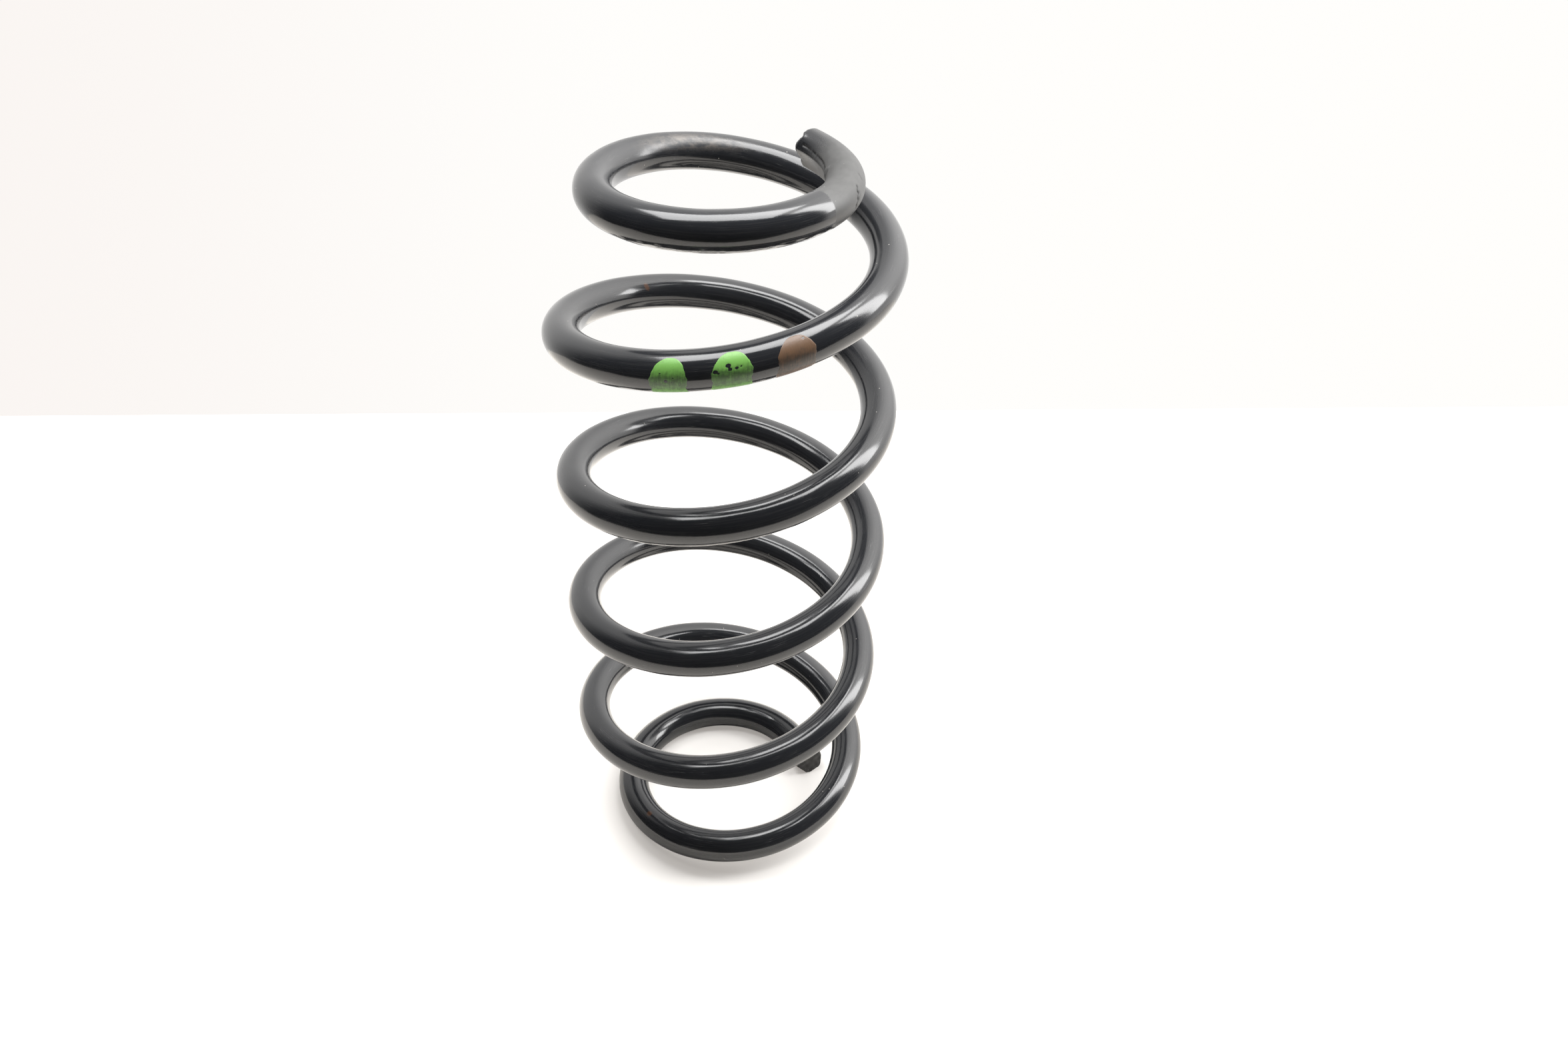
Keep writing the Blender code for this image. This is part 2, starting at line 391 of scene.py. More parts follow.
def tube_faces(rings, sides):
    """The faces of a closed tube, its side faces first, then its two ends."""
    faces = []
    for i in range(rings - 1):
        for j in range(sides):
            k = (j + 1) % sides
            faces.append((i * sides + j, i * sides + k, (i + 1) * sides + k, (i + 1) * sides + j))
    faces.append(tuple(reversed(range(sides))))
    faces.append(tuple(range((rings - 1) * sides, rings * sides)))
    return faces


def new_piece(name, points, faces, places, material, darkness=None):
    """A named mesh whose corners hold their place on the straightened bar and their darkness of painted
    shade.
    """
    data = bpy.data.meshes.new(name)
    data.from_pydata(points.tolist(), [], faces)
    data.validate()
    attribute = data.attributes.new("bar_place", "FLOAT_VECTOR", "POINT")
    attribute.data.foreach_set("vector", places.astype(np.float32).ravel())
    if darkness is not None:
        attribute = data.attributes.new("painted_shade", "FLOAT", "POINT")
        attribute.data.foreach_set("value", darkness.astype(np.float32).ravel())
    data.shade_smooth()
    data.materials.append(material)
    piece = bpy.data.objects.new(name, data)
    bpy.context.scene.collection.objects.link(piece)
    return piece


def face_outwards(faces, points):
    """The faces turned so that they point out of a closed tube."""
    a, b, c = (Vector(points[i]) for i in faces[0][:3])
    middle = Vector(points[: len(faces[-1])].mean(axis=0))
    if (b - a).cross(c - b).dot(a - middle) < 0:
        return [tuple(reversed(face)) for face in faces]
    return faces


def tucked_turns(start, end):
    """Places for a bar piece's rings, with one more past each end, and how far each ring is raised.

    The two outer rings lie just inside the neighbours. They close the hairlines that would open between
    the pieces when the spring is compressed.
    """
    past = (end - start) * TUCK_LENGTH / (distance_along(end) - distance_along(start))
    turn = np.concatenate([[start - past], ring_turns(start, end, RING_STEP), [end + past]])
    lift = np.zeros(len(turn))
    lift[[0, -1]] = -TUCK_DEPTH
    return turn[:, None], lift[:, None]


def angles_round(sides):
    """Evenly spaced angles all round the bar, as a row."""
    return (2 * math.pi * np.arange(sides) / sides)[None, :]


def bar_piece(name, start, end, material):
    """A closed length of round bar whose shading carries on into its neighbours."""
    turn, lift = tucked_turns(start, end)
    angle = angles_round(SIDES)
    points = surface(turn, angle, lift).reshape(-1, 3)
    faces = face_outwards(tube_faces(len(turn), SIDES), points)
    piece = new_piece(name, points, faces, straight_place(turn, angle).reshape(-1, 3), material)
    set_normals(piece, faces, surface_normals(turn, angle).reshape(-1, 3), end_normals(start, end))
    return piece


def rim_feature(around, feature):
    """A notch or bulge of the tip's rim at these degrees round it, in millimetres."""
    middle, width, size = feature
    off = np.mod(around - middle + 180, 360) - 180
    return size * np.exp(-((off / width) ** 2))


def top_tip_break(y, z):
    """How far the broken top end stands out, in metres, at a place given as shares of the bar's radius."""
    around = np.degrees(np.arctan2(z, y))
    rim = sum(rim_feature(around, feature) for feature in (RIM_BULGE, UPPER_NOTCH, LOWER_NOTCH))
    coarse = 0.16 * np.sin(7 * y + 11 * z + 0.5) * np.sin(13 * y - 5 * z)
    fine = 0.08 * np.sin(31 * y) * np.sin(27 * z + 1)
    slope = -0.9 * np.maximum(-z - 0.2, 0.0) - 0.35 * np.maximum(z - 0.3, 0.0)
    return (slope + coarse + fine + np.hypot(y, z) ** 4 * rim) * MM


def bottom_tip_break(y, z):
    """How far the sheared bottom end stands out, in metres, at such a place."""
    coarse = 0.12 * np.sin(6 * y + 9 * z) * np.sin(11 * y - 4 * z + 1)
    fine = 0.05 * np.sin(29 * y + 2) * np.sin(25 * z)
    fold = 0.5 * np.abs(y * 0.8 + z * 0.6 - 0.15)
    return (1.0 - 1.0 * z - fold + coarse + fine) * MM


def tip_sides(turn, angle, tip, out, break_shape):
    """The side of a tip piece, drawn out as the break is and rounded off at its rim."""
    side = surface(turn, angle)
    from_tip = np.abs(distance_along(turn) - distance_along(tip))
    drawn_out = smooth_step(1 - from_tip / BREAK_REACH) * break_shape(np.cos(angle), np.sin(angle))
    rounded = smooth_step(1 - from_tip / TIP_ROUNDING) * TIP_ROUNDING_DEPTH / BAR_RADIUS
    inwards = centre(np.broadcast_arrays(turn, angle)[0]) - side
    return side + drawn_out[..., None] * out + inwards * rounded[..., None]


def tip_face(angle, tip, out, break_shape):
    """The broken face of a tip piece, as rings inside its rim."""
    middle = centre(np.array([[tip]]))
    rim = surface(np.array([[tip]]), angle) - middle
    drawn_out = break_shape(np.cos(angle) * FACE_RINGS, np.sin(angle) * FACE_RINGS)
    return middle + rim * FACE_RINGS[..., None] + drawn_out[..., None] * out


def tip_piece(name, start, end, at_end, break_shape, material):
    """A closed length of bar that ends in a broken or sheared tip."""
    plain, tip = (start, end) if at_end else (end, start)
    turn = graded_turns(plain, tip)[:, None]
    angle = angles_round(FINE_SIDES)
    out = end_normals(start, end)[1 if at_end else 0]
    sides = tip_sides(turn, angle, tip, out, break_shape)
    points = np.concatenate([sides, tip_face(angle, tip, out, break_shape)]).reshape(-1, 3)
    places = straight_place(np.concatenate([turn, 0 * FACE_RINGS + tip]), angle)
    places[len(turn):, :, 1:] *= FACE_RINGS[..., None]
    faces = face_outwards(tube_faces(len(turn) + len(FACE_RINGS), FINE_SIDES), points)
    # Shade is painted into the top tip's crack and folds, and in dark patches on both broken faces
    side_shade = painted_shade(turn, angle) if at_end else np.zeros(sides.shape[:2])
    patches = np.sin(9 * np.cos(angle) * FACE_RINGS) * np.sin(7 * np.sin(angle) * FACE_RINGS + 1)
    darkness = np.concatenate([side_shade, 0.5 + 0.3 * patches])
    piece = new_piece(name, points, faces, places.reshape(-1, 3), material, darkness)
    piece.data.set_sharp_from_angle(angle=TIP_SHARP_ANGLE)
    return piece


def graded_turns(plain, tip):
    """Places for a tip piece's rings, very close together where its plain end meets its neighbour."""
    per_metre = (tip - plain) / abs(distance_along(tip) - distance_along(plain))
    close = plain + per_metre * CLOSE_RINGS
    rest = ring_turns(min(close[-1], tip), max(close[-1], tip), FINE_RING_STEP)
    rest = rest if tip > plain else rest[::-1]
    return np.concatenate([close[:-1], rest])


def end_normals(start, end):
    """The directions of a length's two flat ends."""
    first = -along_bar(np.array(start)) * np.array((1.0, 1.0, 0.0))
    last = along_bar(np.array(end)) * np.array((1.0, 1.0, 0.0))
    return first / np.linalg.norm(first), last / np.linalg.norm(last)


def set_normals(piece, faces, corner_normals, ends):
    """Shades the sides by the true surface and the two ends flat."""
    normals = [corner_normals[i] for face in faces[:-2] for i in face]
    for face, normal in zip(faces[-2:], ends):
        normals += [normal] * len(face)
    piece.data.normals_split_custom_set(normals)


def smooth_step_inverse(share):
    """The x at which smooth_step gives this share."""
    return 0.5 - math.sin(math.asin(1 - 2 * share) / 3)


def follow_the_coils(piece, start, end):
    """Puts a piece on the root or the top end when it stays with either end coil; other pieces are only baked
    in place.
    """
    low, high = sinking_share(start), sinking_share(end)
    if high <= 0:
        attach(piece, "root")
        return
    if low >= 1:
        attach(piece, "top_end")
        return
    first, last = (Vector(centre(np.array(turn))) for turn in (start, end))
    last.z = first.z
    low, high = smooth_step_inverse(low), smooth_step_inverse(high)
    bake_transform(piece)


def length_names():
    """The frame's nodes along the bar, from the bottom, with the turns at which each begins and ends."""
    cuts = [BOTTOM_END_TURNS + i / CUTS_PER_TURN for i in range(OPEN_LENGTHS + 1)]
    names = [f"coil_{i // CUTS_PER_TURN + 1}{'abcdef'[i % CUTS_PER_TURN]}" for i in range(OPEN_LENGTHS)]
    lengths = list(zip(names, cuts, cuts[1:]))
    return [("bottom_end_coil", 0.0, cuts[0])] + lengths + [("top_end_coil", cuts[-1], TOTAL_TURNS)]


def piece_cuts(node, start, end):
    """Where a node's bar is divided into pieces."""
    if node == "bottom_end_coil":
        return [start, FIRST_SINKING_TURN, (FIRST_SINKING_TURN + end) / 2, end]
    if node == "top_end_coil":
        return [start, (start + LAST_SINKING_TURN) / 2, LAST_SINKING_TURN, end]
    pieces = PIECES_PER_PAINTED_LENGTH if node in PAINTED_LENGTHS else PIECES_PER_LENGTH
    return list(np.linspace(start, end, pieces + 1))


def make_bar(coating):
    """Every piece of the bar, each standing for its node of the frame."""
    for node, start, end in length_names():
        cuts = piece_cuts(node, start, end)
        for number, (first, last) in enumerate(zip(cuts, cuts[1:]), 1):
            name = f"{node}_bar_{number}"
            if first == 0.0:
                piece = tip_piece(name, first, last, False, bottom_tip_break, coating)
            elif last == TOTAL_TURNS:
                piece = tip_piece(name, first, last, True, top_tip_break, coating)
            else:
                piece = bar_piece(name, first, last, coating)
            follow_the_coils(piece, first, last)
            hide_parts(node)


# Paint marks, wiped over the outer side of one coil
MARK_GRID = 0.25 * MM
MARK_THICKNESS = 0.07 * MM
MARK_UNDERSIDE = -0.15 * MM
MARK_EDGE_UNDER = -0.03 * MM
MARK_FEATHER = 0.5 * MM
MARK_DOME = 8.0 * MM
MARK_BOTTOM = math.radians(-66.0)
MARK_NARROWEST = 0.05 * MM
BRUSH_RIDGE = 0.006 * MM
BRUSH_RIDGE_RATE = 14000
PIT_DEPTH = 2.2 * MARK_THICKNESS
PIT_HEIGHT_BY_LENGTH = 0.8
BAR_PER_LEVEL_METRE = 1.014

# The daubs: turn of the middle, degrees round of the top, and pits as (turn, degrees round, radius)
GREEN_LEFT = {
    "middle": 4.6875,
    "half_width": 5.9 * MM,
    "top": math.radians(65.0),
    "seed": 0.4,
    "pits": ((4.686, -1.5, 0.55 * MM), (4.681, 20, 0.25 * MM), (4.692, 8, 0.25 * MM)),
}
GREEN_MIDDLE = {
    "middle": 4.738,
    "half_width": 6.2 * MM,
    "top": math.radians(69.0),
    "seed": 1.7,
    "pits": ((4.735, 30, 0.75 * MM), (4.7365, 19.5, 0.55 * MM), (4.7415, 21, 0.5 * MM),
             (4.725, 17, 0.7 * MM), (4.7275, 12, 0.3 * MM), (4.745, 24, 0.3 * MM)),
}
BROWN = {
    "middle": 4.790,
    "half_width": 6.3 * MM,
    "top": math.radians(72.0),
    "seed": 2.9,
    "pits": ((4.797, 55, 0.35 * MM),),
}


def mark_outline(down, half_width, seed):
    """Half the width of a mark at distances down from its top, with a domed top and unsteady sides."""
    dome = np.sqrt(np.clip(1 - (1 - down / MARK_DOME) ** 2, 0.0, 1.0))
    width = half_width * np.where(down < MARK_DOME, dome, 1.0)
    sway = waves(down, ((0.25, 900, seed), (0.12, 2600, 2 * seed)))
    return np.maximum(width + sway * MM * np.minimum(down / MARK_DOME, 1.0), MARK_NARROWEST)


def mark_lift(turn, angle, from_edge, pits):
    """How far a mark's upper side stands above the coating: thin edges, brush ridges and pits."""
    inside = smooth_step(from_edge / MARK_FEATHER)
    ridges = BRUSH_RIDGE * np.sin(turn * BRUSH_RIDGE_RATE + 3 * np.sin(angle * 5))
    lift = MARK_EDGE_UNDER + (MARK_THICKNESS + ridges) * inside
    for at, round_at, radius in pits:
        lift = lift + lump(turn, angle, (at, round_at), radius, radius * PIT_HEIGHT_BY_LENGTH, -PIT_DEPTH)
    return np.maximum(lift, MARK_UNDERSIDE / 2)


def bar_piece_around(turn):
    """The start and end of the bar piece under a place in the painted lengths."""
    pieces = CUTS_PER_TURN * PIECES_PER_PAINTED_LENGTH
    number = math.floor((turn - BOTTOM_END_TURNS) * pieces)
    return BOTTOM_END_TURNS + number / pieces, BOTTOM_END_TURNS + (number + 1) / pieces


def paint_mark(name, node, material, middle, half_width, top, pits, seed):
    """A thin daub of paint whose edges run out into the coating."""
    rows = math.ceil((top - MARK_BOTTOM) * BAR_RADIUS / MARK_GRID) + 1
    columns = math.ceil(2 * half_width / MARK_GRID) + 1
    down = np.linspace(0.0, (top - MARK_BOTTOM) * BAR_RADIUS, rows)[:, None]
    outline = mark_outline(down, half_width, seed)
    sideways = np.linspace(-1.0, 1.0, columns)[None, :]
    turn = middle + sideways * outline / (2 * math.pi * COIL_RADIUS * BAR_PER_LEVEL_METRE)
    angle = np.broadcast_to(top - down / BAR_RADIUS, turn.shape)
    to_ends = np.minimum(down, (angle - MARK_BOTTOM) * BAR_RADIUS)
    from_edge = np.minimum((1 - np.abs(sideways)) * outline, to_ends)
    upper = surface(turn, angle, mark_lift(turn, angle, from_edge, pits))
    lower = surface(turn, angle, MARK_UNDERSIDE)
    points = np.concatenate([upper, lower]).reshape(-1, 3)
    place = straight_place(turn, angle)
    places = np.concatenate([place, place]).reshape(-1, 3)
    piece = new_piece(name, points, sheet_faces(rows, columns), places, material)
    follow_the_coils(piece, *bar_piece_around(middle))
    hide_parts(node)
    return piece


def sheet_faces(rows, columns):
    """The faces of a closed thin sheet: its upper side, its lower side and its rim."""
    faces = []
    below = rows * columns
    for i in range(rows - 1):
        for j in range(columns - 1):
            a, b = i * columns + j, i * columns + j + 1
            c, d = b + columns, a + columns
            faces.append((d, c, b, a))
            faces.append((below + a, below + b, below + c, below + d))
    rim = list(range(columns)) + [(i + 1) * columns - 1 for i in range(1, rows)]
    rim += list(range(rows * columns - 2, (rows - 1) * columns - 1, -1))
    rim += [i * columns for i in range(rows - 2, 0, -1)]
    for a, b in zip(rim, rim[1:] + rim[:1]):
        faces.append((a, b, below + b, below + a))
    return faces


def make_marks():
    """Two green daubs and a brown one."""
    green = paint_material("green_paint", GREEN_PAINT, THIN_SHADED_GREEN_PAINT)
    left = paint_mark("green_paint_left", "green_paint_mark_left", green, **GREEN_LEFT)
    middle = paint_mark("green_paint_middle", "green_paint_mark_middle", green, **GREEN_MIDDLE)
    brown = paint_material("brown_paint", BROWN_PAINT, THIN_SHADED_BROWN_PAINT)
    right = paint_mark("brown_paint", "brown_paint_mark", brown, **BROWN)


def add_node(tree, kind, inputs=None, **settings):
    """A shader node with its settings made and its inputs filled or linked."""
    node = tree.nodes.new(kind)
    for key, value in settings.items():
        setattr(node, key, value)
    for key, value in (inputs or {}).items():
        if isinstance(value, bpy.types.NodeSocket):
            tree.links.new(value, node.inputs[key])
        else:
            node.inputs[key].default_value = value
    return node


def new_material(name):
    """A material and its tree, with only the output and a Principled BSDF."""
    material = bpy.data.materials.new(name)
    material.use_nodes = True
    tree = material.node_tree
    return material, tree, tree.nodes["Principled BSDF"]


def link(tree, shader, **sockets):
    """Links or sets inputs of the Principled BSDF; an underscore in a name stands for a space."""
    for name, value in sockets.items():
        socket = shader.inputs[name.replace("_", " ")]
        if isinstance(value, bpy.types.NodeSocket):
            tree.links.new(value, socket)
        else:
            socket.default_value = value


def bar_place(tree):
    """The place on the straightened bar, in millimetres."""
    return add_node(tree, "ShaderNodeAttribute", attribute_name="bar_place").outputs["Vector"]


def scaled(tree, vector, scale):
    """A vector times another one, part by part."""
    node = add_node(tree, "ShaderNodeVectorMath", {0: vector, 1: scale}, operation="MULTIPLY")
    return node.outputs["Vector"]


def noise(tree, place, scale, detail=2.0, roughness=0.5):
    """Noise from 0 to 1. scale is per millimetre, along the bar and then across it in two directions."""
    inputs = {"Vector": scaled(tree, place, scale), "Scale": 1.0, "Detail": detail, "Roughness": roughness}
    return add_node(tree, "ShaderNodeTexNoise", inputs).outputs["Fac"]


def clamped(tree, value, low, high, low_out=0.0, high_out=1.0):
    """value moved smoothly from one range to another."""
    inputs = {"Value": value, "From Min": low, "From Max": high, "To Min": low_out, "To Max": high_out}
    return add_node(tree, "ShaderNodeMapRange", inputs, interpolation_type="SMOOTHSTEP").outputs["Result"]


def maths(tree, operation, first, second=0.0, third=0.0):
    """A maths node's result."""
    node = add_node(tree, "ShaderNodeMath", {0: first, 1: second, 2: third}, operation=operation)
    return node.outputs["Value"]


def times(tree, first, second):
    """The product of two numbers."""
    return maths(tree, "MULTIPLY", first, second)


def plus_times(tree, value, factor, start):
    """start + factor * value."""
    return maths(tree, "MULTIPLY_ADD", value, factor, start)


def larger(tree, first, second):
    """The larger of two numbers."""
    return maths(tree, "MAXIMUM", first, second)


def plus_noise(tree, value, rough, size):
    """value with a noise added that swings by half of size to each side."""
    return plus_times(tree, maths(tree, "SUBTRACT", rough, 0.5), size, value)


def mixed(tree, share, first, second):
    """A number between two others."""
    return add_node(tree, "ShaderNodeMix", {0: share, 2: first, 3: second}).outputs[0]


def tinted(tree, share, first, second):
    """A colour between two others, each a colour or a link."""
    first, second = (c if isinstance(c, bpy.types.NodeSocket) else (*c, 1.0) for c in (first, second))
    node = add_node(tree, "ShaderNodeMix", {0: share, 6: first, 7: second}, data_type="RGBA")
    return node.outputs[2]


def spot(tree, place, oval, rough):
    """1 inside an oval on the bar and 0 outside, with an edge that a noise breaks up.

    The oval is (turn, degrees round, half its length, half its width, softness), in millimetres.
    """
    turn, around, length, width, softness = oval
    middle = straight_place(np.array(turn), np.array(math.radians(around))).tolist()
    apart = add_node(tree, "ShaderNodeVectorMath", {0: place, 1: middle}, operation="SUBTRACT")
    apart = scaled(tree, apart.outputs["Vector"], (1 / length, 1 / width, 1 / width))
    size = add_node(tree, "ShaderNodeVectorMath", {0: apart}, operation="LENGTH").outputs["Value"]
    size = plus_noise(tree, size, rough, 2.0)
    return clamped(tree, size, 1.0 + softness, 1.0 - softness)


# Colours of the coating and its wear, and of the shade painted into its top end
COATING = (0.0150, 0.0160, 0.0185)
COATING_STREAK = (0.024, 0.0245, 0.026)
SCUFFED = (0.10, 0.10, 0.10)
RUBBED = (0.13, 0.115, 0.100)
MATTE = (0.050, 0.050, 0.049)
MATTE_STAIN = (0.017, 0.017, 0.017)
# Near black painted shade in the top end's crack and folds, along its coating's lip and on the broken tip
# faces
PAINTED_SHADE = (0.004, 0.004, 0.004)
DUST = (0.40, 0.38, 0.35)
RUST = (0.060, 0.028, 0.016)

# Noises on the coating: scale along the bar and across it per millimetre, detail, roughness
PEEL = ((1.1, 1.1, 1.1), 2.0, 0.5)
STREAKS = ((0.05, 2.6, 2.6), 3.0, 0.6)
SMUDGES = ((0.09, 0.16, 0.16), 4.0, 0.5)
SCRATCHES = ((0.12, 7.0, 7.0), 2.0, 0.5)
GRAIN = ((4.0, 4.0, 4.0), 3.0, 0.7)
MOTTLE = ((0.25, 0.4, 0.4), 5.0, 0.6)

# The noise levels between which each kind of wear fades in, with the range it fades over if not from 0 to 1
WORN_LEVELS = (0.45, 0.70)
SCRATCH_LEVELS = (0.62, 0.70)
STREAK_COLOUR_LEVELS = (0.45, 0.75)
STREAK_SHINE_LEVELS = (0.4, 0.8)
RUBBED_LEVELS = (0.35, 0.75)
STAIN_LEVELS = (0.58, 0.36, 0.0, 0.35)
SPECK_SIZE_LEVELS = (0.09, 0.04)
SPECK_CHOICE_LEVELS = (0.86, 0.90)
SPECKS_PER_MILLIMETRE = 0.35

# Ovals of wear, as spot() takes them
STAINED_TIP = (6.088, 112, 17.0, 9.0, 0.7)
DARK_TIP = (6.090, 140, 12.0, 7.0, 0.5)
RUBBED_BACK = (5.275, 130, 22.0, 3.4, 0.5)
DULLED_BACK = (5.34, 105, 52.0, 8.0, 0.4)
RUST_SPOTS = ((4.328, 140, 1.1, 1.5, 0.3), (0.608, 74, 1.2, 1.2, 0.3))
SCUFF_ON_TOP_COIL = (5.725, 66, 11.0, 2.6, 0.5)
SCUFF_ON_MIDDLE_COIL = (2.763, 56, 12.0, 4.5, 0.5)
SCUFF_ON_BOTTOM_COIL = (0.856, 66, 6.0, 2.5, 0.5)
DUST_LINE = (3.70, -40, 30.0, 0.45, 0.4)

# Roughness of the coating: its plain value, what each kind of wear adds, and the values that replace it
PLAIN_ROUGHNESS = 0.080
SMUDGE_ROUGHNESS = 0.10
STREAK_ROUGHNESS = 0.05
SCRATCH_ROUGHNESS = 0.15
DULLED_ROUGHNESS = (0.20, 0.12)
RUBBED_ROUGHNESS = 0.36
MATTE_ROUGHNESS = (-0.10, 0.50)
# Roughness where shade is painted
PAINTED_SHADE_ROUGHNESS = 0.75

# How strongly some of them show
TIP_STAIN = 0.8
DARK_TIP_SHINE = 0.85
DUST_LINE_STRENGTH = 0.6
SCRATCH_STRENGTH = 0.5

# The matte end's start, with half the width of its edge in millimetres, and the coating as a whole
MATTE_FROM_TURN = 5.866
MATTE_EDGE = 0.4
COATING_IOR = 1.54
COATING_BUMP = 0.006 * MM
STREAK_BUMP = 0.55
GRAIN_BUMP = 0.5


def coating_noises(tree, place):
    """The noises that the coating's wear is made from, by name."""
    kinds = {"peel": PEEL, "streaks": STREAKS, "smudges": SMUDGES, "scratches": SCRATCHES}
    kinds.update({"grain": GRAIN, "mottle": MOTTLE})
    return {name: noise(tree, place, *kind) for name, kind in kinds.items()}


def coating_wear_and_shade(tree, place, noises):
    """Where each kind of wear is, and where shade is painted, from 0 to 1, by name."""
    grain, mottle = noises["grain"], noises["mottle"]
    worn = larger(tree, clamped(tree, noises["smudges"], *WORN_LEVELS), scuffed_places(tree, place, grain))
    return {
        "scratched": times(tree, clamped(tree, noises["scratches"], *SCRATCH_LEVELS), worn),
        "matte": matte_end(tree, place, grain),
        "rubbed": spot(tree, place, RUBBED_BACK, mottle),
        "dulled": spot(tree, place, DULLED_BACK, mottle),
        "stained": stained_end(tree, place, mottle),
        # Where shade is painted into the top end's crack and folds and on the broken faces
        "shade_painted": add_node(tree, "ShaderNodeAttribute", attribute_name="painted_shade").outputs["Fac"],
    }


def coating_colour(tree, place, noises, wear_and_shade):
    """Near black with paler streaks and scuffs, a grey matte end, dust and rust, and painted shade in its
    crack and folds.
    """
    streaked = clamped(tree, noises["streaks"], *STREAK_COLOUR_LEVELS)
    rubbed = times(tree, wear_and_shade["rubbed"], clamped(tree, noises["mottle"], *RUBBED_LEVELS))
    colour = tinted(tree, streaked, COATING, COATING_STREAK)
    colour = tinted(tree, times(tree, wear_and_shade["scratched"], SCRATCH_STRENGTH), colour, SCUFFED)
    colour = tinted(tree, rubbed, colour, RUBBED)
    colour = tinted(tree, wear_and_shade["matte"], colour, tinted(tree, wear_and_shade["stained"], MATTE, MATTE_STAIN))
    colour = tinted(tree, specks(tree, place), colour, DUST)
    colour = tinted(tree, rust_spots(tree, place, noises["grain"]), colour, RUST)
    colour = tinted(tree, dust_line(tree, place, noises["grain"]), colour, DUST)
    # Painted shade: near black in the crack, folds and lip of the top end and on the broken faces
    return tinted(tree, wear_and_shade["shade_painted"], colour, PAINTED_SHADE)


def coating_roughness(tree, noises, wear_and_shade):
    """Semi-gloss, duller where the coating is smudged, scratched, rubbed or matte, and where shade is
    painted.
    """
    streaked = clamped(tree, noises["streaks"], *STREAK_SHINE_LEVELS)
    rough = plus_times(tree, noises["smudges"], SMUDGE_ROUGHNESS, PLAIN_ROUGHNESS)
    rough = plus_times(tree, streaked, STREAK_ROUGHNESS, rough)
    rough = plus_times(tree, wear_and_shade["scratched"], SCRATCH_ROUGHNESS, rough)
    rough = mixed(tree, wear_and_shade["dulled"], rough, plus_times(tree, noises["mottle"], *DULLED_ROUGHNESS))
    rough = mixed(tree, wear_and_shade["rubbed"], rough, RUBBED_ROUGHNESS)
    rough = mixed(tree, wear_and_shade["matte"], rough, plus_times(tree, wear_and_shade["stained"], *MATTE_ROUGHNESS))
    # Rougher where shade is painted
    return mixed(tree, wear_and_shade["shade_painted"], rough, PAINTED_SHADE_ROUGHNESS)


def coating_bump(tree, noises, wear_and_shade):
    """Fine orange peel and streaks, with a grain where the coating is matte or rubbed."""
    grainy = times(tree, noises["grain"], maths(tree, "ADD", wear_and_shade["matte"], wear_and_shade["rubbed"]))
    raised = plus_times(tree, noises["streaks"], STREAK_BUMP, noises["peel"])
    raised = plus_times(tree, grainy, GRAIN_BUMP, raised)
    return add_node(tree, "ShaderNodeBump", {"Height": raised, "Strength": 1.0, "Distance": COATING_BUMP})


def coating_material():
    """Semi-gloss black coating with fine streaks, scuffs and specks; matte and rubbed at the top end."""
    material, tree, shader = new_material("black_coating")
    place = bar_place(tree)
    noises = coating_noises(tree, place)
    wear_and_shade = coating_wear_and_shade(tree, place, noises)
    colour = coating_colour(tree, place, noises, wear_and_shade)
    rough = coating_roughness(tree, noises, wear_and_shade)
    normal = coating_bump(tree, noises, wear_and_shade).outputs["Normal"]
    link(tree, shader, Base_Color=colour, Roughness=rough, IOR=COATING_IOR, Normal=normal)
    return material


def stained_end(tree, place, mottle):
    """How stained the matte end is: in faint patches, and more so close to its tip."""
    near_tip = times(tree, spot(tree, place, STAINED_TIP, mottle), TIP_STAIN)
    return larger(tree, clamped(tree, mottle, *STAIN_LEVELS), near_tip)


def matte_end(tree, place, grain):
    """Where the top end is matte: past a crisp edge, and little in the dark patch at its very tip."""
    along = add_node(tree, "ShaderNodeSeparateXYZ", {"Vector": place}).outputs["X"]
    past = maths(tree, "SUBTRACT", along, float(distance_along(MATTE_FROM_TURN)) / MM)
    past = plus_noise(tree, past, grain, 2.0)
    matte = clamped(tree, past, -MATTE_EDGE, MATTE_EDGE)
    return times(tree, matte, plus_times(tree, spot(tree, place, DARK_TIP, grain), -DARK_TIP_SHINE, 1.0))


def specks(tree, place):
    """Tiny pale specks, few and far between."""
    cells = add_node(tree, "ShaderNodeTexVoronoi", {"Vector": place, "Scale": SPECKS_PER_MILLIMETRE})
    small = clamped(tree, cells.outputs["Distance"], *SPECK_SIZE_LEVELS)
    chosen = add_node(tree, "ShaderNodeSeparateColor", {"Color": cells.outputs["Color"]}).outputs["Red"]
    return times(tree, small, clamped(tree, chosen, *SPECK_CHOICE_LEVELS))


def rust_spots(tree, place, grain):
    """Two brown spots where the coating is chipped through."""
    first, second = (spot(tree, place, oval, grain) for oval in RUST_SPOTS)
    return larger(tree, first, second)


def scuffed_places(tree, place, grain):
    """Where the coating has been scraped: on top of the top coil, and on two coils' outer sides."""
    top = spot(tree, place, SCUFF_ON_TOP_COIL, grain)
    middle = spot(tree, place, SCUFF_ON_MIDDLE_COIL, grain)
    bottom = spot(tree, place, SCUFF_ON_BOTTOM_COIL, grain)
    return larger(tree, top, larger(tree, middle, bottom))


def dust_line(tree, place, grain):
    """A broken pale line low on the middle coil's outer side."""
    return times(tree, spot(tree, place, DUST_LINE, grain), DUST_LINE_STRENGTH)


# The paint: colours thick and lit, and thin with painted shade; noises; heights across the bar in millimetres
GREEN_PAINT = (0.155, 0.37, 0.075)
